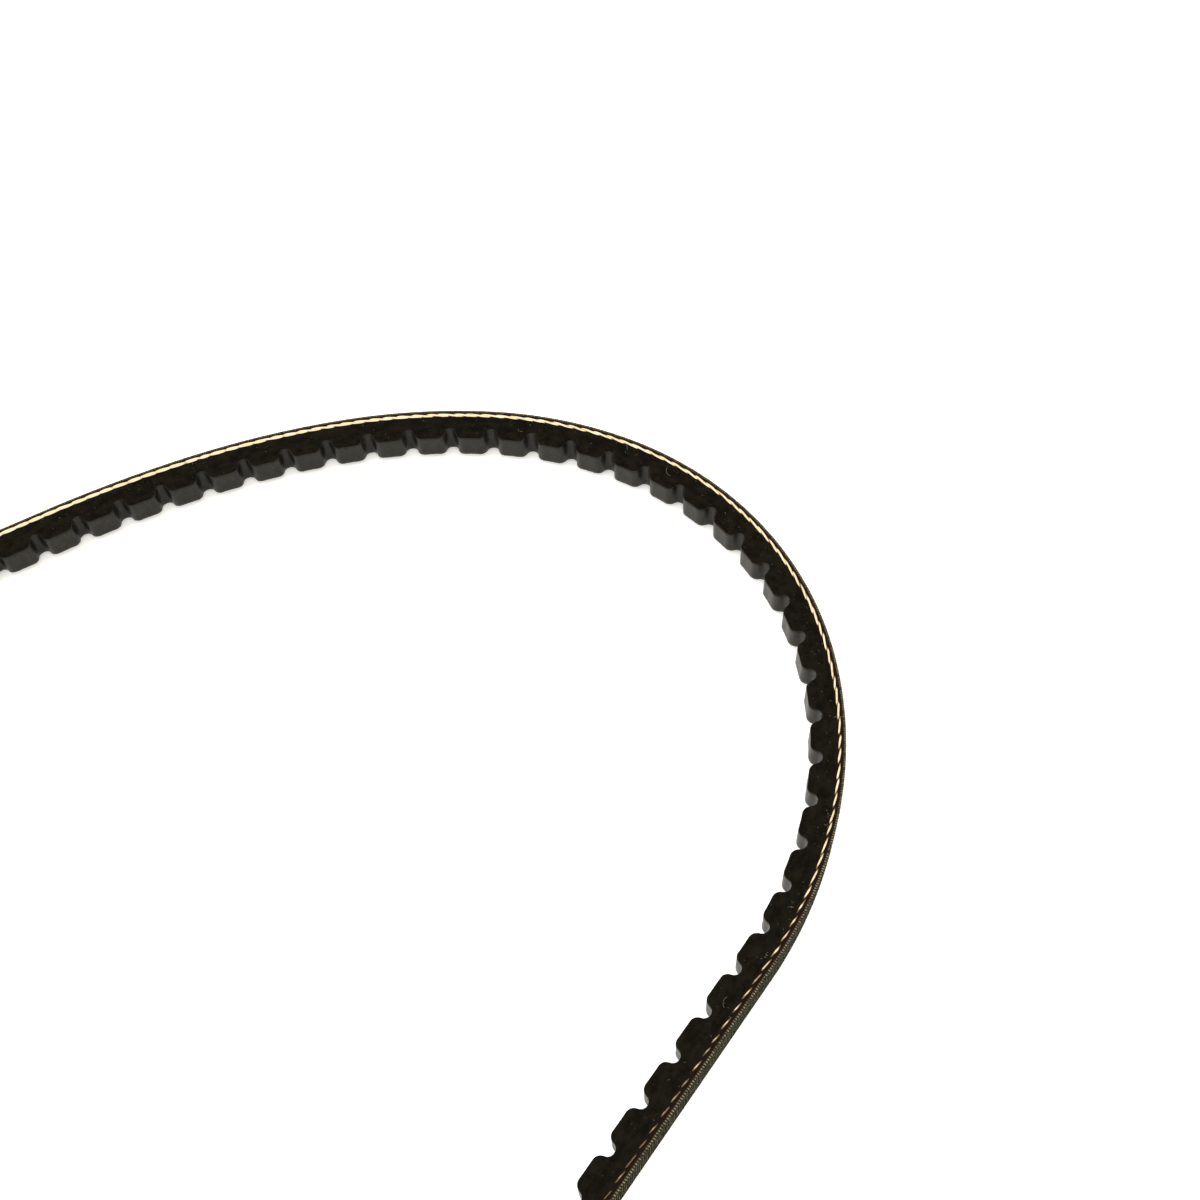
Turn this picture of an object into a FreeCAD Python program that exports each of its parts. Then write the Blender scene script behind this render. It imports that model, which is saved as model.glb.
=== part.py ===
"""A raw-edge cogged V-belt lying on its side, in the loose egg-shaped loop that it takes when free.

The belt is a laminate of rings. From the back inwards these are two plies of cover fabric, a skim of
tension rubber, two layers of adhesion rubber with a row of tensile cord turns between them, and the
compression rubber with its moulded cogs. Every ring follows one path, the line of the cord centres.
"""

import FreeCAD
import Part

import math
import os

Vector = FreeCAD.Vector

# Section of the belt, in millimetres. Depth is measured from the back towards the cog tips.
TOP_WIDTH = 10.0
BELT_THICKNESS = 8.0
FLANK_ANGLE = 12.0  # degrees between one flank and the plane across the loop

# Layers, from the back inwards
OUTER_PLY = 0.28
INNER_PLY = 0.28
TENSION_SKIM = 0.24
CORD_COVER = 0.10  # adhesion rubber between the tension rubber and the cord
CORD_DIAMETER = 1.0
CORD_GAP = 0.12  # adhesion rubber between neighbouring turns
CORD_FLOOR = 0.15  # adhesion rubber between the cord and the compression rubber

# Cogs
COG_PITCH = 11.1  # wanted along the cord line; the belt's length sets the whole number of cogs
NOTCH_DEPTH = 2.8
NOTCH_ROOT_RADIUS = 1.5
NOTCH_DRAFT = 17.0  # degrees that each wall of a notch leans outwards
COG_CORNER_RADIUS = 1.8

# Loop. The outside length is the belt's nominal length, measured round its back.
OUTSIDE_LENGTH = 1000.0
# The loop's shape as tangent arcs, clockwise from above: (relative radius, degrees turned). A straight run
# follows each end of the loop, and the two runs take the lengths that close it.
TIGHT_END = ((290, 7.7), (205, 10.9), (145, 15.4), (100, 22.3), (84, 53.2), (98, 45.6))
TIGHT_END_TIP = 4  # the arc in TIGHT_END that is square to the long axis at its middle
BROAD_END_RADIUS = 123
SHOULDER_RADIUS = 197
SHOULDER_TURN = 25.0

OVERSHOOT = 2.0  # how far a cutter runs past what it cuts

cord_spacing = CORD_DIAMETER + CORD_GAP
cord_depth = OUTER_PLY + INNER_PLY + TENSION_SKIM + CORD_COVER + CORD_DIAMETER / 2
compression_top = cord_depth + CORD_DIAMETER / 2 + CORD_FLOOR
flank_slope = math.tan(math.radians(FLANK_ANGLE))
cord_line_length = OUTSIDE_LENGTH - 2 * math.pi * cord_depth


def turned(vector, degrees):
    """The vector turned about Z, anticlockwise from above."""
    angle = math.radians(degrees)
    x = vector.x * math.cos(angle) - vector.y * math.sin(angle)
    y = vector.x * math.sin(angle) + vector.y * math.cos(angle)
    return Vector(x, y, 0)


def loop_shape():
    """The closed loop as (kind, size, degrees) stretches, scaled so that the cord line has its length."""
    turn_left = 360 - sum(turn for radius, turn in TIGHT_END) - 2 * SHOULDER_TURN
    broad_end = (
        (SHOULDER_RADIUS, SHOULDER_TURN),
        (BROAD_END_RADIUS, turn_left),
        (SHOULDER_RADIUS, SHOULDER_TURN),
    )
    chain = [*TIGHT_END, None, *broad_end, None]
    heading = 0.0
    gap = Vector(0, 0, 0)
    runs = []
    for stretch in chain:
        tangent = turned(Vector(1, 0, 0), heading)
        if stretch is None:
            runs.append(tangent)
            continue
        radius, turn = stretch
        to_centre = turned(tangent, -90)
        gap += to_centre * radius - turned(to_centre, -turn) * radius
        heading -= turn
    # Two straight runs along known directions close the gap that the arcs leave.
    first, second = runs
    area = first.x * second.y - first.y * second.x
    lengths = [
        (-gap.x * second.y + gap.y * second.x) / area,
        (-first.x * gap.y + first.y * gap.x) / area,
    ]
    arc_length = sum(radius * math.radians(turn) for radius, turn in [*TIGHT_END, *broad_end])
    scale = cord_line_length / (arc_length + sum(lengths))
    stretches = []
    for stretch in chain:
        if stretch is None:
            stretches.append(("run", lengths.pop(0) * scale, 0.0))
        else:
            stretches.append(("arc", stretch[0] * scale, stretch[1]))
    return stretches


class Stretch:
    """One run or arc of the cord line, with where it starts and which way it heads."""

    def __init__(self, kind, size, turn, start, heading):
        self.kind = kind
        self.size = size
        self.turn = turn
        self.start = start
        self.heading = heading
        self.tangent = turned(Vector(1, 0, 0), heading)
        self.centre = start + turned(self.tangent, -90) * size
        self.length = size if kind == "run" else size * math.radians(turn)

    def at(self, distance):
        """The point and heading at this distance along the stretch."""
        if self.kind == "run":
            return self.start + self.tangent * distance, self.heading
        turn = math.degrees(distance / self.size)
        return self.centre + turned(self.start - self.centre, -turn), self.heading - turn

    def sweep(self, section):
        """The section, drawn square to the path with +X outwards, carried along this stretch."""
        face = section.copy()
        face.Placement = placement(self.start, self.heading)
        if self.kind == "run":
            return face.extrude(self.tangent * self.size)
        return face.revolve(self.centre, Vector(0, 0, -1), self.turn)


def placement(point, heading):
    """Moves a drawing to this point of the path, with its +X to the outside of the loop."""
    return FreeCAD.Placement(point, FreeCAD.Rotation(Vector(0, 0, 1), heading + 90))


def laid_from(start, heading, shape):
    """The loop's stretches end to end, from this point and heading."""
    path = []
    for kind, size, turn in shape:
        path.append(Stretch(kind, size, turn, start, heading))
        start, heading = path[-1].at(path[-1].length)
    return path


def lay_out():
    """The loop in place: the tight end's tip faces +X, and the back's box is centred on the origin."""
    shape = loop_shape()
    before_tip = sum(turn for kind, size, turn in shape[:TIGHT_END_TIP])
    heading = -90 + before_tip + shape[TIGHT_END_TIP][2] / 2
    trial = laid_from(Vector(0, 0, 0), heading, shape)
    back = Part.Wire([edge_of(stretch, cord_depth) for stretch in trial]).optimalBoundingBox()
    return laid_from(Vector(-back.Center.x, -back.Center.y, 0), heading, shape)


def edge_of(stretch, outwards):
    """The stretch as an edge, this far outside the cord line."""
    ends = []
    for distance in (0, stretch.length / 2, stretch.length):
        point, heading = stretch.at(distance)
        ends.append(point + turned(Vector(1, 0, 0), heading + 90) * outwards)
    if stretch.kind == "run":
        return Part.LineSegment(ends[0], ends[2]).toShape()
    return Part.Arc(*ends).toShape()


def half_width(depth):
    """Half the belt's width at a depth. The outer ply's edges are cut square, so the belt rests on them."""
    return TOP_WIDTH / 2 - max(0.0, depth - OUTER_PLY) * flank_slope


def slab(top, bottom):
    """The section between two depths, from flank to flank, with the cord line at X = 0."""
    middle = TOP_WIDTH / 2
    depths = sorted({top, bottom} | ({OUTER_PLY} if top < OUTER_PLY < bottom else set()))
    upper = [Vector(cord_depth - depth, 0, middle + half_width(depth)) for depth in depths]
    lower = [Vector(cord_depth - depth, 0, middle - half_width(depth)) for depth in reversed(depths)]
    return Part.Face(Part.makePolygon([*upper, *lower, upper[0]]))


def cord_sections():
    """The cord turns' sections, lowest first, as many as the width holds. The flanks cut the outer two."""
    whole = slab(0, BELT_THICKNESS)
    turns_each_side = int(half_width(cord_depth) / cord_spacing)
    sections = []
    for turn in range(-turns_each_side, turns_each_side + 1):
        height = TOP_WIDTH / 2 + turn * cord_spacing
        circle = Part.Circle(Vector(0, 0, height), Vector(0, 1, 0), CORD_DIAMETER / 2)
        round_face = Part.Face(Part.Wire(circle.toShape()))
        sections.append(round_face.common(whole).Faces[0])
    return sections


def ring(section, path):
    """A section carried round the whole loop as one closed solid."""
    pieces = [stretch.sweep(section) for stretch in path]
    return pieces[0].multiFuse(pieces[1:]).Solids[0]


def notch_cutter():
    """A notch's outline, extruded past both flanks: a round root, leaning walls and rounded cog corners."""
    draft = math.radians(NOTCH_DRAFT)
    root = BELT_THICKNESS - NOTCH_DEPTH
    room = NOTCH_DEPTH / (1 - math.sin(draft)) - NOTCH_ROOT_RADIUS
    corner_radius = min(COG_CORNER_RADIUS, 0.95 * room)  # the wall keeps a little straight between its arcs
    wall_start = (root + NOTCH_ROOT_RADIUS * (1 - math.sin(draft)), NOTCH_ROOT_RADIUS * math.cos(draft))
    corner_depth = BELT_THICKNESS - corner_radius
    lean = (corner_radius + (corner_depth - wall_start[0]) * math.sin(draft)) / math.cos(draft)
    corner_side = wall_start[1] + lean
    wall_end = (
        corner_depth + corner_radius * math.sin(draft),
        corner_side - corner_radius * math.cos(draft),
    )
    half_turn = math.radians((90 + NOTCH_DRAFT) / 2)
    corner_middle = (
        corner_depth + corner_radius * math.sin(half_turn),
        corner_side - corner_radius * math.cos(half_turn),
    )

    def place(point, side=1):
        return Vector(cord_depth - point[0], side * point[1], -OVERSHOOT)

    mouth = (BELT_THICKNESS, corner_side)
    beyond = (BELT_THICKNESS + OVERSHOOT, corner_side)
    edges = [Part.Arc(place(wall_start, -1), place((root, 0)), place(wall_start)).toShape()]
    for side in (1, -1):
        edges.append(Part.LineSegment(place(wall_start, side), place(wall_end, side)).toShape())
        corner = Part.Arc(place(wall_end, side), place(corner_middle, side), place(mouth, side))
        edges.append(corner.toShape())
        edges.append(Part.LineSegment(place(mouth, side), place(beyond, side)).toShape())
    edges.append(Part.LineSegment(place(beyond), place(beyond, -1)).toShape())
    outline = Part.Wire(Part.__sortEdges__(edges))
    return Part.Face(outline).extrude(Vector(0, 0, TOP_WIDTH + 2 * OVERSHOOT))


def point_along(path, distance):
    """The point and heading at a distance along the whole cord line."""
    for stretch in path:
        if distance <= stretch.length:
            return stretch.at(distance)
        distance -= stretch.length
    return path[-1].at(path[-1].length)


def cogged(body, path):
    """The body with evenly spaced notches cut into its inside, the first of them at the tight end's tip."""
    cogs = round(cord_line_length / COG_PITCH)
    tip = sum(stretch.length for stretch in path[:TIGHT_END_TIP]) + path[TIGHT_END_TIP].length / 2
    cutter = notch_cutter()
    cutters = []
    for cog in range(cogs):
        distance = (tip + cog * cord_line_length / cogs) % cord_line_length
        point, heading = point_along(path, distance)
        notch = cutter.copy()
        notch.Placement = placement(point, heading)
        cutters.append(notch)
    return body.cut(Part.makeCompound(cutters)).Solids[0]


def save(name, shape):
    """Writes one closed solid, and says what it is."""
    if not shape.isValid() or not shape.isClosed():
        raise ValueError(f"{name} isn't a valid closed solid")
    shape.exportStep(f"parts/{name}.step")
    box = shape.BoundBox
    print(f"{name}: {len(shape.Faces)} faces, {shape.Volume:.1f} mm3, {box.XLength:.1f} x {box.YLength:.1f}")


def main():
    os.makedirs("parts", exist_ok=True)
    path = lay_out()
    sections = cord_sections()
    cords = Part.makeCompound(sections)

    inner_ply_end = OUTER_PLY + INNER_PLY
    skim_end = inner_ply_end + TENSION_SKIM
    save("cover_fabric_outer_ply", ring(slab(0, OUTER_PLY), path))
    save("cover_fabric_inner_ply", ring(slab(OUTER_PLY, inner_ply_end), path))
    save("tension_rubber", ring(slab(inner_ply_end, skim_end), path))
    save("adhesion_rubber_upper", ring(slab(skim_end, cord_depth).cut(cords).Faces[0], path))
    save("adhesion_rubber_lower", ring(slab(cord_depth, compression_top).cut(cords).Faces[0], path))
    for number, section in enumerate(sections, start=1):
        save(f"tensile_cord_turn_{number}", ring(section, path))
    compression = ring(slab(compression_top, BELT_THICKNESS), path)
    save("compression_rubber_cogged", cogged(compression, path))


main()
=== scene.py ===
"""Looks of a raw-edge cogged V-belt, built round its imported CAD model.

Every visible layer of the belt is a fine mesh made in the belt's own coordinates and then laid round the
loop: s along the cord line, depth from the back towards the cog tips, and z across the width, all in
millimetres. Materials read the same coordinates, so that weave, fibres and cut marks follow the belt.
"""

import math

import bpy
import numpy as np
from mathutils import Matrix, Vector


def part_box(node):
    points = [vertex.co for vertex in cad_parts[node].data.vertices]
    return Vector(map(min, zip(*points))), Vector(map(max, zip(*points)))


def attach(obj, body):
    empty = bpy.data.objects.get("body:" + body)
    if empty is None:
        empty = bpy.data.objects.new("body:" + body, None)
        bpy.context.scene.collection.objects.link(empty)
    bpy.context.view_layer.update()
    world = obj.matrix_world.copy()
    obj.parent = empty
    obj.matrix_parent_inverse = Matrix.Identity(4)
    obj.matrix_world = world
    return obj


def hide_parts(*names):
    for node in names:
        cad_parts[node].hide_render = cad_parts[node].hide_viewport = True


MM = 0.001
SEED = 7

# Section, as in the CAD model (mm)
TOP_WIDTH = 10.0
BELT_THICKNESS = 8.0
FLANK_SLOPE = math.tan(math.radians(12.0))
OUTER_PLY = 0.28
INNER_PLY_END = 0.56
SKIM_END = 0.80
CORD_DEPTH = 1.40
CORD_RADIUS = 0.5
CORD_SPACING = 1.12
CORD_TURNS = 9
COMPRESSION_TOP = 2.05

# Cogs (mm and degrees)
COGS = 89
NOTCH_DEPTH = 2.8
NOTCH_ROOT_RADIUS = 1.5
NOTCH_DRAFT = 17.0
COG_CORNER_RADIUS = 1.8

# Path: tangent arcs, clockwise from above, with a straight run after each end (relative radius, degrees)
OUTSIDE_LENGTH = 1000.0
TIGHT_END = ((290, 7.7), (205, 10.9), (145, 15.4), (100, 22.3), (84, 53.2), (98, 45.6))
TIGHT_END_TIP = 4
BROAD_END = ((197, 25.0), (123, 154.9), (197, 25.0))
CORD_LINE = OUTSIDE_LENGTH - 2 * math.pi * CORD_DEPTH

# Cover cloth: the weave repeats this often round the back, and over this distance (mm)
WEAVE_REPEATS = 848
WEAVE = OUTSIDE_LENGTH / WEAVE_REPEATS

# Tufts of frayed fibre on the upper flank: distance from the loop's tip, and depth (mm)
TUFTS = ((81.0, 2.3), (84.0, 2.0), (104.0, 3.3), (117.0, 2.9))

# Camera
CAMERA_AT = Vector((39.74, -148.62, 313.54)) * MM
CAMERA_AIM = Vector((142.53, 14.11, 5.0)) * MM
CAMERA_ROLL = math.radians(-4.10)
CAMERA_LENS = 44.77  # on a 36 mm sensor


class Loop:
    """The belt's path, found the way the CAD model finds it."""

    def __init__(self):
        chain = [*TIGHT_END, None, *BROAD_END, None]
        heading, gap, runs = 0.0, 0j, []
        for stretch in chain:
            if stretch is None:
                runs.append(np.exp(1j * heading))
                continue
            radius, turn = stretch[0], math.radians(stretch[1])
            left = 1j * np.exp(1j * heading)
            gap += -left * radius + left * np.exp(-1j * turn) * radius
            heading -= turn
        sides = np.array([[run.real for run in runs], [run.imag for run in runs]])
        lengths = list(np.linalg.solve(sides, [-gap.real, -gap.imag]))
        arcs = sum(radius * math.radians(turn) for radius, turn in [*TIGHT_END, *BROAD_END])
        scale = CORD_LINE / (arcs + sum(lengths))
        before_tip = sum(turn for radius, turn in TIGHT_END[:TIGHT_END_TIP])
        heading = math.radians(-90 + before_tip + TIGHT_END[TIGHT_END_TIP][1] / 2)
        point, distance = 0j, 0.0
        table = []
        for stretch in chain:
            if stretch is None:
                length, bend = lengths.pop(0) * scale, 0.0
            else:
                radius = stretch[0] * scale
                length, bend = radius * math.radians(stretch[1]), 1 / radius
            table.append((distance, point.real, point.imag, heading, bend))
            point += self.step(length, heading, bend)
            distance += length
            heading -= length * bend
        self.table = np.array(table)
        starts = [*self.table[:, 0], CORD_LINE]
        self.tip = (starts[TIGHT_END_TIP] + starts[TIGHT_END_TIP + 1]) / 2
        x, y = self.lay(np.linspace(0, CORD_LINE, 20000), 0.0)
        low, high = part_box("cover_fabric_outer_ply")
        self.table[:, 1] += (low[0] + high[0]) / 2 / MM - (x.min() + x.max()) / 2
        self.table[:, 2] += (low[1] + high[1]) / 2 / MM - (y.min() + y.max()) / 2

    @staticmethod
    def step(length, heading, bend):
        """Where a stretch has got to, relative to its start, as x + iy."""
        chord = length * np.sinc(length * bend / 2 / np.pi)
        return chord * np.exp(1j * (heading - length * bend / 2))

    def at(self, s):
        """Position and heading at a distance along the cord line."""
        s = np.mod(s, CORD_LINE)
        row = self.table[np.searchsorted(self.table[:, 0], s, side="right") - 1]
        distance = s - row[..., 0]
        place = row[..., 1] + 1j * row[..., 2] + self.step(distance, row[..., 3], row[..., 4])
        return place, row[..., 3] - distance * row[..., 4]

    def bend(self, s):
        return self.table[np.searchsorted(self.table[:, 0], np.mod(s, CORD_LINE), side="right") - 1][..., 4]

    def lay(self, s, depth):
        """x and y of a place given by distance along and depth from the back."""
        place, heading = self.at(s)
        place = place + 1j * np.exp(1j * heading) * (CORD_DEPTH - depth)
        return place.real, place.imag


def half_width(depth):
    """Half the belt's width at a depth from the back."""
    return TOP_WIDTH / 2 - np.maximum(0.0, depth - OUTER_PLY) * FLANK_SLOPE


def wander(s, seed, longest=40.0, waves=24):
    """A smooth random value of about -1 to 1 along the loop, the same at both ends of it."""
    pick = np.random.default_rng(SEED + seed)
    rounds = np.round(CORD_LINE / longest * (1 + 6 * pick.random(waves) ** 2))
    phases = pick.random(waves) * 2 * np.pi
    total = sum(np.sin(2 * np.pi * turns * s / CORD_LINE + phase) for turns, phase in zip(rounds, phases))
    return total / math.sqrt(waves)


# ---------------------------------------------------------------------------------------------- meshes


def new_mesh(name, points, faces, values, looks, look_of_face, sharp=40.0):
    """A mesh object from points in mm, faces, the belt coordinates of each face corner, and its materials."""
    mesh = bpy.data.meshes.new(name)
    count = np.array([len(face) for face in faces])
    corners = np.concatenate([np.asarray(face, dtype=np.int32) for face in faces])
    fill_mesh(mesh, points, corners, count)
    return dress(name, mesh, values, looks, look_of_face, sharp)


def fill_mesh(mesh, points, corners, count):
    mesh.vertices.add(len(points))
    mesh.vertices.foreach_set("co", (np.asarray(points) * MM).astype(np.float32).ravel())
    mesh.loops.add(len(corners))
    mesh.loops.foreach_set("vertex_index", corners.astype(np.int32))
    mesh.polygons.add(len(count))
    mesh.polygons.foreach_set("loop_start", np.concatenate([[0], np.cumsum(count)[:-1]]).astype(np.int32))
    mesh.update(calc_edges=True)


def dress(name, mesh, values, looks, look_of_face, sharp):
    """Gives a mesh its belt coordinates, materials and shading, and wraps it in an object."""
    belt = mesh.attributes.new("belt", "FLOAT_VECTOR", "CORNER")
    belt.data.foreach_set("vector", values.astype(np.float32).ravel())
    for look in looks:
        mesh.materials.append(look)
    mesh.polygons.foreach_set("material_index", look_of_face.astype(np.int32))
    mesh.validate()
    mesh.shade_smooth()
    mesh.set_sharp_from_angle(angle=math.radians(sharp))
    piece = bpy.data.objects.new(name, mesh)
    bpy.context.scene.collection.objects.link(piece)
    return piece


def ring_piece(name, loop, s, depth, z, looks, look_of_column=None, sharp=40.0):
    """A closed ring from belt coordinates, one row per station round the loop and one column per point
    round the section. The first row follows the last, and the first column follows the last."""
    s, depth, z = np.broadcast_arrays(s, depth, z)
    rows, columns = s.shape
    x, y = loop.lay(s, depth)
    points = np.stack([x, y, z], axis=-1).reshape(-1, 3)
    row, column = np.meshgrid(np.arange(rows), np.arange(columns), indexing="ij")
    ahead, beside = (row + 1) % rows, (column + 1) % columns
    corners = np.stack(
        [row * columns + column, row * columns + beside, ahead * columns + beside, ahead * columns + column],
        axis=-1,
    )
    own = np.stack([s, depth, z], axis=-1).reshape(-1, 3)
    values = own[corners]
    past_seam = np.where(row + 1 == rows, CORD_LINE, 0.0)
    values[..., 2, 0] += past_seam
    values[..., 3, 0] += past_seam
    if signed_volume(points, corners) < 0:
        corners = corners[..., ::-1]
        values = values[..., ::-1, :]
    if look_of_column is None:
        look_of_column = np.zeros(columns)
    mesh = bpy.data.meshes.new(name)
    fill_mesh(mesh, points, corners.ravel(), np.full(rows * columns, 4))
    look_of_face = np.broadcast_to(look_of_column, (rows, columns)).ravel()
    return dress(name, mesh, values, looks, look_of_face, sharp)


def signed_volume(points, corners):
    a, b, c, d = (points[corners[..., k].ravel()] for k in range(4))
    return float((np.cross(b, c) * a).sum() + (np.cross(c, d) * a).sum())


def stations(count):
    """Even stations round the loop, as a column."""
    return (np.arange(count) * CORD_LINE / count)[:, None]


def slab_section(top, bottom):
    """Depths and heights round a layer's section, from flank to flank."""
    depth = np.array([top, bottom, bottom, top])
    side = np.array([1, 1, -1, -1])
    return depth, TOP_WIDTH / 2 + side * half_width(depth)


# ------------------------------------------------------------------------------------------- materials


class Look:
    """A material under construction."""

    def __init__(self, name, rough, specular):
        self.material = bpy.data.materials.new(name)
        self.material.use_nodes = True
        self.nodes = self.material.node_tree.nodes
        self.links = self.material.node_tree.links
        self.shader = self.nodes["Principled BSDF"]
        self.shader.inputs["Roughness"].default_value = rough
        self.shader.inputs["Specular IOR Level"].default_value = specular
        place = self.nodes.new("ShaderNodeAttribute")
        place.attribute_name = "belt"
        self.place = place.outputs["Vector"]

    def node(self, kind, settings=(), **inputs):
        """A node, its settings, and its inputs as values or links. An input called _1 is input number 1."""
        made = self.nodes.new("ShaderNode" + kind)
        for key, value in dict(settings).items():
            setattr(made, key, value)
        for key, value in inputs.items():
            socket = made.inputs[int(key[1:])] if key[0] == "_" else made.inputs[key.replace("_", " ")]
            if isinstance(value, bpy.types.NodeSocket):
                self.links.new(value, socket)
            else:
                socket.default_value = value
        return made

    def math(self, operation, a, b=0.0):
        return self.node("Math", {"operation": operation}, _0=a, _1=b).outputs[0]

    def scaled(self, by):
        """The belt coordinates, scaled apart in s, depth and z."""
        return self.node("VectorMath", {"operation": "MULTIPLY"}, _0=self.place, _1=by).outputs[0]

    def split(self, vector):
        return self.node("SeparateXYZ", _0=vector).outputs

    def noise(self, vector, scale, detail=3.0, rough=0.6):
        return self.node("TexNoise", Vector=vector, Scale=scale, Detail=detail, Roughness=rough).outputs[0]

    def ramp(self, value, low, high):
        """0 below low, 1 above high."""
        made = self.node("MapRange", {"interpolation_type": "SMOOTHSTEP"}, Value=value)
        made.inputs["From Min"].default_value = low
        made.inputs["From Max"].default_value = high
        return made.outputs[0]

    def mix(self, factor, a, b):
        made = self.node("Mix", {"data_type": "RGBA"}, _0=factor)
        for socket, value in zip((made.inputs[6], made.inputs[7]), (a, b)):
            if isinstance(value, bpy.types.NodeSocket):
                self.links.new(value, socket)
            else:
                socket.default_value = (*value, 1.0)
        return made.outputs[2]

    def finish(self, colour, height=None, strength=0.5, reach=0.05, rough=None):
        """Joins up the colour, the bump (height in mm times reach) and the roughness."""
        self.links.new(colour, self.shader.inputs["Base Color"])
        if height is not None:
            bump = self.node("Bump", Strength=strength, Distance=reach * MM, Height=height)
            self.links.new(bump.outputs[0], self.shader.inputs["Normal"])
        if rough is not None:
            self.links.new(rough, self.shader.inputs["Roughness"])
        return self.material

    def specks(self, by, share, size):
        """Short fibre ends: a few cells of a stretched pattern, each with a small bright core."""
        cells = self.node("TexVoronoi", Vector=self.scaled(by), Scale=1.0)
        chosen = self.ramp(self.split(cells.outputs["Color"])[0], 1 - share, 1 - share * 0.6)
        core = self.ramp(cells.outputs["Distance"], size, size * 0.4)
        return self.math("MULTIPLY", chosen, core)


def cut_rubber():
    """Rubber filled with short fibres, ground to a matte flank: cut marks across it and fibre ends."""
    look = Look("ground_flank_rubber", rough=0.85, specular=0.03)
    colour = (0.0080, 0.0063, 0.0040)
    fleck = (0.055, 0.052, 0.040)
    cloud = look.noise(look.scaled((0.35, 0.6, 0.6)), 1.0)
    marks = look.noise(look.scaled((7.0, 0.5, 0.5)), 1.0, detail=4.0)
    grain = look.noise(look.scaled((3.0, 3.0, 3.0)), 2.5, detail=5.0, rough=0.7)
    dark = tuple(0.35 * part for part in colour)
    light = tuple(1.9 * part for part in colour)
    shade = look.mix(look.ramp(cloud, 0.3, 0.75), dark, colour)
    shade = look.mix(look.math("MULTIPLY", look.ramp(marks, 0.52, 0.8), 0.7), shade, light)
    fibres = look.math(
        "MAXIMUM",
        look.specks((2.1, 1.0, 1.0), 0.10, 0.22),
        look.specks((0.8, 1.9, 1.9), 0.07, 0.20),
    )
    shade = look.mix(look.math("MULTIPLY", fibres, 0.8), shade, fleck)
    height = look.math("ADD", look.math("MULTIPLY", marks, 0.8), grain)
    return look.finish(shade, height, strength=0.6, reach=0.10)


def moulded_rubber():
    """Smooth moulded rubber: satin, with a faint bloom and the mould's fine lay across the cog."""
    look = Look("moulded_cog_rubber", rough=0.36, specular=0.17)
    look.shader.inputs["Specular Tint"].default_value = (1.0, 0.95, 0.84, 1.0)
    cloud = look.noise(look.scaled((0.5, 0.5, 0.35)), 1.0, detail=4.0)
    lay = look.noise(look.scaled((5.0, 5.0, 0.6)), 1.0, detail=3.0)
    grain = look.noise(look.scaled((6.0, 6.0, 6.0)), 1.0, detail=3.0)
    shade = look.mix(look.ramp(cloud, 0.3, 0.75), (0.0010, 0.0010, 0.0007), (0.0080, 0.0082, 0.0058))
    shade = look.mix(look.math("MULTIPLY", look.ramp(lay, 0.52, 0.72), 0.7), shade, (0.024, 0.024, 0.018))
    height = look.math("ADD", look.math("MULTIPLY", lay, 0.6), look.math("MULTIPLY", grain, 0.4))
    rough = look.math("ADD", look.math("MULTIPLY", cloud, 0.40), 0.18)
    return look.finish(shade, height, strength=0.5, reach=0.08, rough=rough)


def skin_rubber(name, colour):
    """Thin layers of gum between the plies and the cord, matte on their cut edge."""
    look = Look(name, rough=0.8, specular=0.05)
    streak = look.noise(look.scaled((0.9, 4.0, 4.0)), 1.0, detail=4.0)
    grain = look.noise(look.scaled((4.0, 4.0, 4.0)), 1.5, detail=4.0)
    dark = tuple(0.5 * part for part in colour)
    shade = look.mix(look.ramp(streak, 0.3, 0.7), dark, colour)
    return look.finish(shade, grain, strength=0.5, reach=0.08)


def weave_crowns(look):
    """How near each place is to the crown of a yarn, 0 to 1, in cloth laid on the bias."""
    along, _, across = look.split(look.place)
    to_back = OUTSIDE_LENGTH / CORD_LINE * 2 * math.pi / WEAVE
    first = look.math("COSINE", look.math("MULTIPLY", along, to_back))
    second = look.math("COSINE", look.math("MULTIPLY", across, 2 * math.pi / WEAVE))
    return look.math("ADD", look.math("MULTIPLY", look.math("MULTIPLY", first, second), 0.5), 0.5)


def woven_cover():
    """Rubbered cloth: dark olive, with the yarns' crowns rubbed pale."""
    look = Look("rubbered_cover_cloth", rough=0.85, specular=0.02)
    crown = weave_crowns(look)
    wear = look.noise(look.scaled((0.25, 0.25, 0.35)), 1.0, detail=4.0)
    thread = look.noise(look.scaled((6.0, 6.0, 6.0)), 1.0, detail=3.0)
    rubbed = look.math("MULTIPLY", look.ramp(crown, 0.78, 0.95), look.ramp(wear, 0.20, 0.60))
    rubbed = look.math("MULTIPLY", rubbed, look.ramp(thread, 0.25, 0.6))
    shade = look.mix(look.ramp(crown, 0.1, 0.8), (0.0020, 0.0016, 0.0010), (0.0060, 0.0052, 0.0028))
    shade = look.mix(rubbed, shade, (0.36, 0.35, 0.22))
    height = look.math("ADD", look.math("MULTIPLY", crown, 0.6), look.math("MULTIPLY", thread, 0.4))
    return look.finish(shade, height, strength=0.5, reach=0.06)


def ply_edge(name, pale_colour):
    """The cut edge of the cloth: dark rubber with the cut yarn ends in a row."""
    look = Look(name, rough=0.8, specular=0.05)
    along = look.split(look.place)[0]
    ends = look.math("COSINE", look.math("MULTIPLY", along, 4 * math.pi / WEAVE))
    uneven = look.noise(look.scaled((1.4, 2.0, 2.0)), 1.0, detail=3.0)
    pale = look.math("MULTIPLY", look.ramp(ends, -0.3, 0.8), look.ramp(uneven, 0.36, 0.55))
    shade = look.mix(pale, (0.020, 0.015, 0.008), pale_colour)
    grain = look.noise(look.scaled((5.0, 5.0, 5.0)), 1.0, detail=3.0)
    height = look.math("ADD", grain, look.math("MULTIPLY", ends, 0.2))
    return look.finish(shade, height, strength=0.6, reach=0.08)


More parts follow.
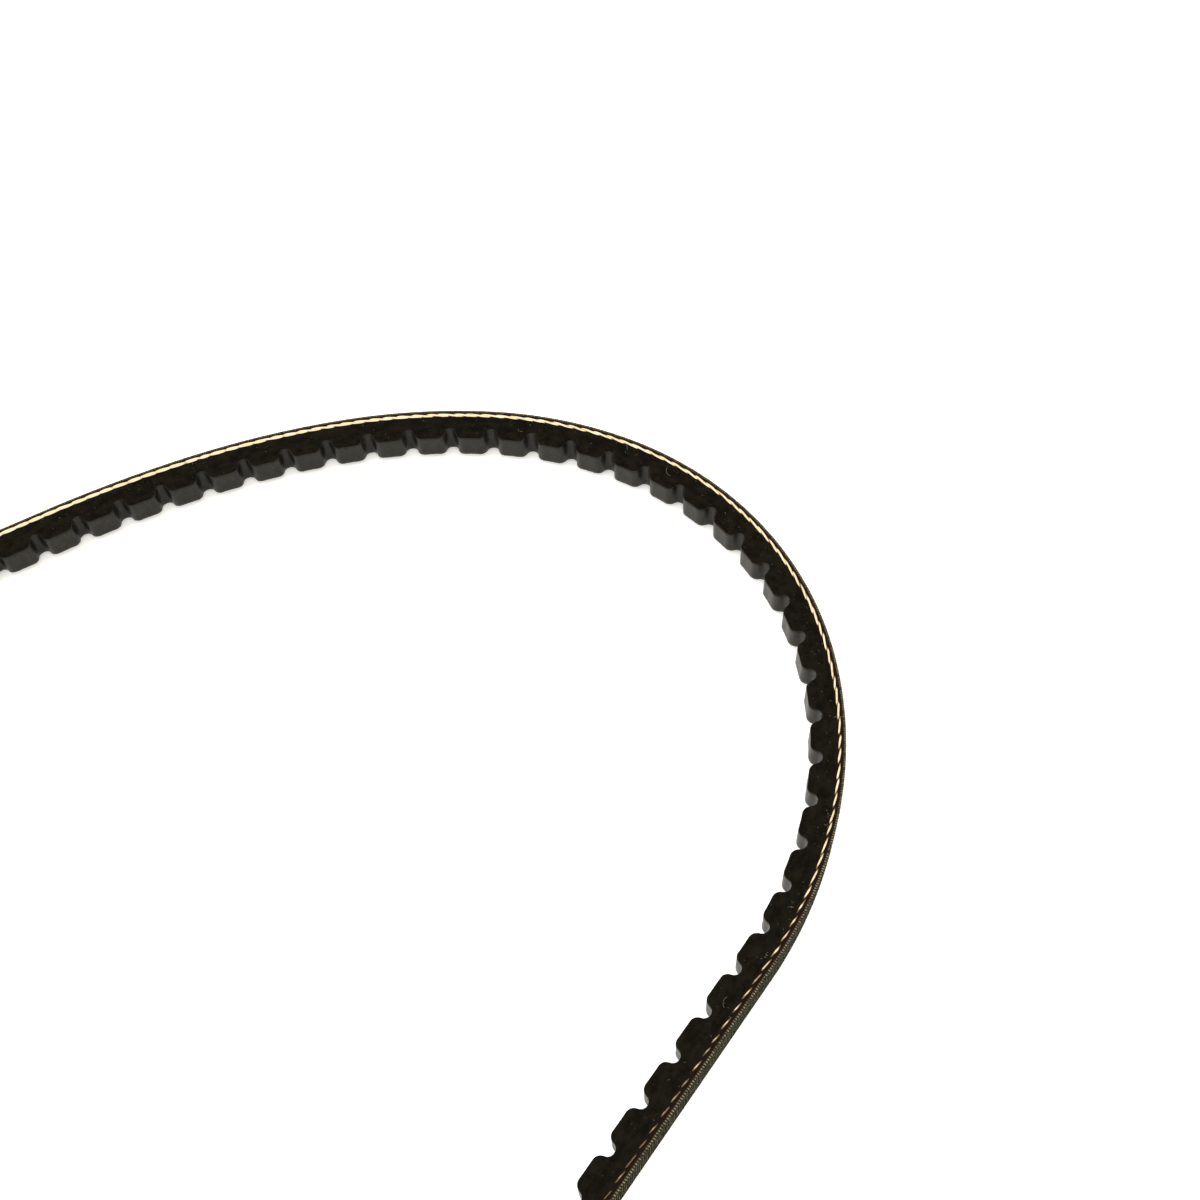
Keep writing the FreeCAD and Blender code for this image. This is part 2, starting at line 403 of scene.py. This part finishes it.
def cord_yarn():
    """Polyester yarn: cream where it's cut through, tanned by the dip on its outside. The third belt
    coordinate of a cord is 1 where it's cut through and 0 where it isn't."""
    look = Look("tensile_cord_yarn", rough=0.65, specular=0.3)
    cut = look.split(look.place)[2]
    fine = look.noise(look.scaled((1.2, 9.0, 2.0)), 1.0, detail=5.0, rough=0.65)
    broad = look.noise(look.scaled((0.35, 0.7, 1.0)), 1.0, detail=2.0)
    cream = look.mix(look.ramp(fine, 0.35, 0.7), (0.50, 0.38, 0.17), (0.80, 0.71, 0.50))
    cream = look.mix(look.math("MULTIPLY", look.ramp(broad, 0.45, 0.65), 0.7), cream, (0.78, 0.64, 0.53))
    tan = look.mix(look.ramp(fine, 0.3, 0.7), (0.030, 0.017, 0.005), (0.20, 0.12, 0.035))
    shade = look.mix(look.ramp(cut, 0.05, 0.75), tan, cream)
    return look.finish(shade, fine, strength=0.6, reach=0.10)


def loose_fibre():
    look = Look("loose_fibre", rough=0.6, specular=0.3)
    shade = look.mix(look.noise(look.place, 0.8), (0.10, 0.095, 0.07), (0.30, 0.28, 0.21))
    return look.finish(shade)


# ---------------------------------------------------------------------------------------------- pieces


def cover_outer_ply(loop, looks):
    """The outer ply of the cover, with its weave raised on the back and its edges cut square."""
    s = stations(WEAVE_REPEATS * 4)
    across = 26
    inset, edge, relief, unevenness = 0.03, 0.06, 0.04, 0.01
    edge_band = 0.07  # share of the half width over which the back rounds off and the weave dies away
    ratio = np.linspace(1, -1, across + 1)
    z = TOP_WIDTH / 2 + ratio * (TOP_WIDTH / 2 - edge / 2)
    phase = 2 * np.pi / WEAVE
    crown = np.cos(s * OUTSIDE_LENGTH / CORD_LINE * phase) * np.cos(z[None, :] * phase)
    round_off = edge * np.maximum(0, np.abs(ratio) - (1 - edge_band)) / edge_band
    raised = relief * np.clip((1 - np.abs(ratio)) / edge_band, 0, 1)
    depth = inset + raised * (1 - crown) + round_off + unevenness * (1 + wander(s, 1, longest=12.0))
    rim = np.array([[edge + 0.07, OUTER_PLY]])
    top_rim = np.broadcast_to(rim[:, ::-1], (len(s), 2))
    bottom_rim = np.broadcast_to(rim, (len(s), 2))
    depth = np.concatenate([top_rim, depth, bottom_rim], axis=1)
    height = np.concatenate([[TOP_WIDTH, TOP_WIDTH], z, [0.0, 0.0]])
    looks_by_column = np.ones(depth.shape[1])
    looks_by_column[2 : across + 2] = 0
    return ring_piece("cover_fabric_outer", loop, s, depth, height[None, :], looks, looks_by_column, sharp=50)


def plain_layer(name, loop, top, bottom, look, count=1000):
    depth, z = slab_section(top, bottom)
    return ring_piece(name, loop, stations(count), depth[None, :], z[None, :], [look])


def adhesion_layer(name, loop, top, bottom, look):
    """A gum layer that beds half of each inner cord turn. The turns at the flanks are cut into it."""
    into = 1 if bottom > CORD_DEPTH else -1
    far = bottom if into == 1 else top
    steps = np.linspace(math.pi, 0, 7)
    depth, z = [far, CORD_DEPTH], [half_width(far), half_width(CORD_DEPTH)]
    for turn in range(CORD_TURNS - 2):
        centre = ((CORD_TURNS - 3) / 2 - turn) * CORD_SPACING
        depth.extend(CORD_DEPTH + into * CORD_RADIUS * np.sin(steps))
        z.extend(centre - CORD_RADIUS * np.cos(steps))
    depth.extend([CORD_DEPTH, far])
    z.extend([-half_width(CORD_DEPTH), -half_width(far)])
    height = TOP_WIDTH / 2 + np.array(z)
    return ring_piece(name, loop, stations(900), np.array(depth)[None, :], height[None, :], [look])


def cog_outline(loop):
    """The inside of the belt as distances and depths round the loop, with its inward normals."""
    root = BELT_THICKNESS - NOTCH_DEPTH
    draft = math.radians(NOTCH_DRAFT)
    wall = root + NOTCH_ROOT_RADIUS * (1 - math.sin(draft))
    corner = BELT_THICKNESS - COG_CORNER_RADIUS
    side = NOTCH_ROOT_RADIUS * math.cos(draft)
    side += (COG_CORNER_RADIUS + (corner - wall) * math.sin(draft)) / math.cos(draft)
    bend = np.linspace(0, math.pi / 2 - draft, 7)
    curl = np.linspace(-(math.pi / 2 - draft), math.pi / 2 - draft, 13)
    into = side - COG_CORNER_RADIUS * np.sin(bend)
    down = corner + COG_CORNER_RADIUS * np.cos(bend)
    x = np.concatenate([-into, NOTCH_ROOT_RADIUS * np.sin(curl), into[::-1]])
    depth = np.concatenate([down, root + NOTCH_ROOT_RADIUS * (1 - np.cos(curl)), down[::-1]])
    tips = np.linspace(0, 1, 7)[1:-1]
    pick = np.random.default_rng(SEED)
    all_s, all_depth = [], []
    pitch = CORD_LINE / COGS
    for cog in range(COGS):
        middle = loop.tip + cog * pitch
        shrink = 1 - loop.bend(middle) * (depth - CORD_DEPTH)
        s = middle + x / shrink
        next_middle = middle + pitch
        next_shrink = 1 - loop.bend(next_middle) * (BELT_THICKNESS - CORD_DEPTH)
        start, end = s[-1], next_middle - side / next_shrink
        lift = 0.03 * pick.random()
        all_s.extend([*s, *(start + (end - start) * tips)])
        all_depth.extend([*depth, *(BELT_THICKNESS - lift * np.sin(math.pi * tips))])
    s, depth = np.array(all_s), np.array(all_depth)
    before, after = np.roll(s, 1), np.roll(s, -1)
    before[0] -= CORD_LINE
    after[-1] += CORD_LINE
    run = after - before
    fall = np.roll(depth, -1) - np.roll(depth, 1)
    length = np.hypot(run, fall)
    return s, depth, fall / length, -run / length


def cogged_rubber(loop, looks):
    """The compression rubber: ground flanks, and the moulded cogs and notches between them."""
    s, depth, normal_s, normal_depth = cog_outline(loop)
    worn = 0.10 + 0.03 * wander(s, 2, longest=15.0)
    grinding, inset = 0.012, 0.02
    flank_rows, moulded_rows = 6, 9
    share = np.linspace(0, 1, flank_rows)[None, :]
    end_s, end_depth = s + normal_s * worn, depth + normal_depth * worn
    flank_s = s[:, None] + (end_s - s)[:, None] * share
    flank_depth = COMPRESSION_TOP + (end_depth - COMPRESSION_TOP)[:, None] * share
    rough = grinding * wander(flank_s * 3 + flank_depth * 31, 3, longest=4.0)
    rough[:, 0] = 0
    flank_z = half_width(flank_depth) - np.abs(rough)
    ratio = np.linspace(1, -1, moulded_rows)[None, :]
    moulded_z = ratio * (half_width(depth) - worn)[:, None]
    sag = 0.02 * wander(s, 4, longest=7.0)[:, None] * np.cos(ratio * 2.1)
    moulded_s = s[:, None] + normal_s[:, None] * (inset + sag)
    moulded_depth = depth[:, None] + normal_depth[:, None] * (inset + sag)
    all_s = np.concatenate([flank_s, moulded_s, flank_s[:, ::-1]], axis=1)
    all_depth = np.concatenate([flank_depth, moulded_depth, flank_depth[:, ::-1]], axis=1)
    all_z = np.concatenate([flank_z, moulded_z, -flank_z[:, ::-1]], axis=1) + TOP_WIDTH / 2
    looks_by_column = np.zeros(all_s.shape[1])
    looks_by_column[flank_rows - 1 : flank_rows + moulded_rows] = 1
    return ring_piece("compression_rubber", loop, all_s, all_depth, all_z, looks, looks_by_column, sharp=60)


def cut_cord(name, loop, side, look):
    """The outermost turn of the wound cord: three twisted strands, which climb through one flank and are
    cut off almost flush with it. The turn sinks under the rubber at its end, and is nearly all cut away at
    its start."""
    strands, lay, sides = 3, 11.1, 10
    proud, pillow, embedded = 0.012, 0.035, 0.2  # of the cut face, its middle, and the strand's underside
    rows = 2900
    before_tip = 0.77  # share of the turn that lies before the loop's tip
    strand_radius = 0.54 * CORD_RADIUS  # pressed together, the strands fill the cord
    swing = CORD_RADIUS - strand_radius
    length = CORD_LINE * 2 * CORD_RADIUS / CORD_SPACING
    first = loop.tip - before_tip * length
    s = first + np.linspace(0, length, rows)
    sunk = CORD_RADIUS * (2 * (s - first) / length - 1)
    chord = np.sqrt(np.maximum(CORD_RADIUS**2 - np.minimum(sunk, 0) ** 2, 0.0004))[:, None]
    shallow = np.clip(sunk[:, None] / CORD_RADIUS - 0.5, 0, 1)
    points, values, faces = [], [], []
    for strand in range(strands):
        twist = 2 * np.pi * (s / lay + strand / strands) + 0.25 * wander(s, 10 + strand)
        around = np.linspace(0, 2 * np.pi, sides, endpoint=False)[None, :]
        flat = 1 + 0.06 * wander(s, 20 + strand, longest=9.0)[:, None]
        outward = swing * np.cos(twist)[:, None] + strand_radius * flat * np.cos(around)
        upward = swing * np.sin(twist)[:, None] + strand_radius * flat * np.sin(around)
        outward = np.clip(outward, -chord, chord)
        depth = CORD_DEPTH - outward
        height = half_width(CORD_DEPTH) - sunk[:, None] + upward
        crown = np.sin(around) ** 2
        limit = half_width(depth) + proud + pillow * crown - embedded * (np.sin(around) < -0.01)
        cut = np.clip((height - limit) / 0.05, 0, 1) * np.clip(0.3 + 2 * crown, 0, 1)
        cut *= 1 - 0.6 * shallow
        height = np.minimum(height, limit)
        x, y = loop.lay(s[:, None] + 0 * depth, depth)
        start = sum(len(part) for part in points)
        points.append(np.stack([x, y, TOP_WIDTH / 2 + side * height], axis=-1).reshape(-1, 3))
        turn = np.broadcast_to(around / (2 * np.pi) * 3 + strand * 5, depth.shape)
        along = np.broadcast_to(s[:, None], depth.shape)
        values.append(np.stack([along, turn, cut], axis=-1).reshape(-1, 3))
        row, column = np.meshgrid(np.arange(rows - 1), np.arange(sides), indexing="ij")
        beside = (column + 1) % sides
        quad = np.stack([row * sides + column, row * sides + beside], axis=-1)
        quad = np.concatenate([quad, quad[..., ::-1] + sides], axis=-1).reshape(-1, 4)
        faces.extend((start + quad[:, ::side]).tolist())
        faces.append((start + np.arange(sides))[::-side].tolist())
        faces.append((start + (rows - 1) * sides + np.arange(sides))[::side].tolist())
    points, values = np.concatenate(points), np.concatenate(values)
    corners = np.concatenate([np.array(face) for face in faces])
    return new_mesh(name, points, faces, values[corners], [look], np.zeros(len(faces)), sharp=80)


def loose_ends(loop):
    """Where the loose fibres lie: side, start, bearing, curl and length of each, and whether it's a hair."""
    pick = np.random.default_rng(SEED + 50)
    ends = []
    for number in range(420):
        hair = number % 60 == 1
        ends.append(
            (
                1 if number % 2 else -1,
                pick.uniform(0, CORD_LINE),
                pick.uniform(2.3, 4.8) if hair else pick.uniform(0.9, 5.0),
                pick.uniform(0, 2 * math.pi),
                pick.uniform(0.8, 1.9) * pick.choice([-1, 1]) if hair else pick.uniform(-0.6, 0.6),
                pick.uniform(2.0, 3.2) if hair else pick.uniform(0.25, 0.8),
                hair,
            )
        )
    ends.append((1, loop.tip - 28.6, 2.6, math.radians(100), -1.9, 3.4, True))
    for start, depth in TUFTS:
        for strand in range(6):
            place = (loop.tip + start + pick.uniform(-0.5, 0.5), depth + pick.uniform(-0.3, 0.3))
            ends.append((1, *place, pick.uniform(0, 2 * math.pi), 0.4, pick.uniform(0.5, 1.0), False))
    return ends


def fibres(loop, look):
    """Loose fibres on both flanks: many short stubs, a few tufts, and some long curled hairs."""
    pick = np.random.default_rng(SEED + 60)
    points, faces, values = [], [], []
    for side, s0, depth0, angle, curl, length, hair in loose_ends(loop):
        count = 12 if hair else 4
        radius = 0.030 if hair else 0.022
        t = np.linspace(0, 1, count)
        bearing = angle + curl * t
        s = s0 + np.cumsum(np.cos(bearing)) * length / count
        depth = np.clip(depth0 + np.cumsum(np.sin(bearing)) * length / count, 0.4, 5.1)
        lift = 0.03 + 0.10 * np.sin(math.pi * t) * pick.uniform(0.3, 1.0)
        height = np.minimum(half_width(depth) + lift, TOP_WIDTH / 2 - 2 * radius)
        start = len(points)
        for k in range(count):
            for corner in range(3):
                around = 2 * math.pi * corner / 3
                across = s[k] - math.sin(bearing[k]) * radius * math.cos(around)
                down = depth[k] + math.cos(bearing[k]) * radius * math.cos(around)
                x, y = loop.lay(np.array(across), down)
                z = TOP_WIDTH / 2 + side * (height[k] + radius * math.sin(around))
                points.append((float(x), float(y), z))
                values.append((across, down, height[k]))
        for k in range(count - 1):
            for corner in range(3):
                a, b = start + 3 * k + corner, start + 3 * k + (corner + 1) % 3
                faces.append([a, b, b + 3, a + 3][::side])
        end = start + 3 * (count - 1)
        faces.append([start, start + 1, start + 2][::-side])
        faces.append([end, end + 1, end + 2][::side])
    values = np.array(values)
    corners = np.concatenate([np.array(face) for face in faces])
    points = np.array(points)
    return new_mesh("loose_fibres", points, faces, values[corners], [look], np.zeros(len(faces)), sharp=180)


# ------------------------------------------------------------------------------------------- the scene


def dress_belt(loop):
    flank = cut_rubber()
    adhesion = skin_rubber("adhesion_gum", (0.0075, 0.0050, 0.0032))
    skim = skin_rubber("tension_gum", (0.020, 0.0070, 0.0062))
    outer_edge = ply_edge("outer_ply_cut_edge", (0.22, 0.22, 0.12))
    inner_edge = ply_edge("inner_ply_cut_edge", (0.16, 0.15, 0.09))
    yarn = cord_yarn()
    made = {
        "cover_fabric_outer_ply": (
            cover_outer_ply(loop, [woven_cover(), outer_edge]),
            "cover_fabric",
        ),
        "cover_fabric_inner_ply": (
            plain_layer("cover_fabric_inner", loop, OUTER_PLY, INNER_PLY_END, inner_edge),
            "cover_fabric",
        ),
        "tension_rubber": (
            plain_layer("tension_rubber_skim", loop, INNER_PLY_END, SKIM_END, skim),
            "tension_rubber",
        ),
        "adhesion_rubber_upper": (
            adhesion_layer("adhesion_gum_above_cord", loop, SKIM_END, CORD_DEPTH, adhesion),
            "adhesion_rubber",
        ),
        "adhesion_rubber_lower": (
            adhesion_layer("adhesion_gum_below_cord", loop, CORD_DEPTH, COMPRESSION_TOP, adhesion),
            "adhesion_rubber",
        ),
        "compression_rubber_cogged": (
            cogged_rubber(loop, [flank, moulded_rubber()]),
            "compression_rubber",
        ),
        "tensile_cord_turn_1": (cut_cord("cut_cord_lower_flank", loop, -1, yarn), "tensile_cord"),
        "tensile_cord_turn_9": (cut_cord("cut_cord_upper_flank", loop, 1, yarn), "tensile_cord"),
    }
    for node, (piece, slot) in made.items():
        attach(piece, "root")
        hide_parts(node)
    hairs = fibres(loop, loose_fibre())
    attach(hairs, "root")
    for turn in range(2, CORD_TURNS):
        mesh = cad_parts[f"tensile_cord_turn_{turn}"].data
        for slot in range(len(mesh.materials)):
            mesh.materials[slot] = yarn


def studio():
    """A white floor with a faint painted glow, which lifts the belt's contact shadows on it to white, a soft
    surround, and one large soft light from the left and behind the belt."""
    scene = bpy.context.scene
    bpy.ops.mesh.primitive_plane_add(size=6.0, location=(0, 0, -0.00002))
    floor = bpy.context.object
    floor.name = "floor"
    paper = bpy.data.materials.new("glowing_white_floor")
    paper.use_nodes = True
    shader = paper.node_tree.nodes["Principled BSDF"]
    shader.inputs["Base Color"].default_value = (0.92, 0.92, 0.90, 1)
    shader.inputs["Roughness"].default_value = 0.9
    shader.inputs["Specular IOR Level"].default_value = 0.1
    # Painted light: the floor glows and lifts the belt's contact shadows on it to white.
    shader.inputs["Emission Color"].default_value = (1, 0.995, 0.97, 1)
    shader.inputs["Emission Strength"].default_value = 0.35
    floor.data.materials.append(paper)
    world = bpy.data.worlds.new("soft_surround")
    world.use_nodes = True
    world.node_tree.nodes["Background"].inputs["Color"].default_value = (1, 0.965, 0.90, 1)
    world.node_tree.nodes["Background"].inputs["Strength"].default_value = 1.6
    scene.world = world
    light = bpy.data.lights.new("key_light", "AREA")
    light.shape = "RECTANGLE"
    light.size, light.size_y = 1.8, 1.4
    light.energy = 10
    key = bpy.data.objects.new("key_light", light)
    key.location = (-0.75, 0.75, 0.9)
    key.rotation_euler = (Vector((0.1, 0, 0)) - key.location).to_track_quat("-Z", "Y").to_euler()
    scene.collection.objects.link(key)
    scene.view_settings.view_transform = "Standard"


def camera():
    lens = bpy.data.cameras.new("camera")
    lens.lens = CAMERA_LENS
    lens.sensor_width = 36
    lens.clip_start = 0.01
    viewer = bpy.data.objects.new("camera", lens)
    turn = (CAMERA_AIM - CAMERA_AT).to_track_quat("-Z", "Y").to_matrix().to_4x4()
    viewer.matrix_world = Matrix.Translation(CAMERA_AT) @ turn @ Matrix.Rotation(CAMERA_ROLL, 4, "Z")
    bpy.context.scene.collection.objects.link(viewer)
    bpy.context.scene.camera = viewer


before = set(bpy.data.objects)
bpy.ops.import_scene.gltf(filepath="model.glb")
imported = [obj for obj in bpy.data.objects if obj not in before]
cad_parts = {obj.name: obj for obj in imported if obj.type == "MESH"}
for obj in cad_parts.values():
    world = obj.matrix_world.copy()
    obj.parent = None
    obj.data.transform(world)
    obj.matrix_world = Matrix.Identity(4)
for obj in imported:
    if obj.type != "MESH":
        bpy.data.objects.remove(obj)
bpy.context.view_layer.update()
dress_belt(Loop())
studio()
camera()
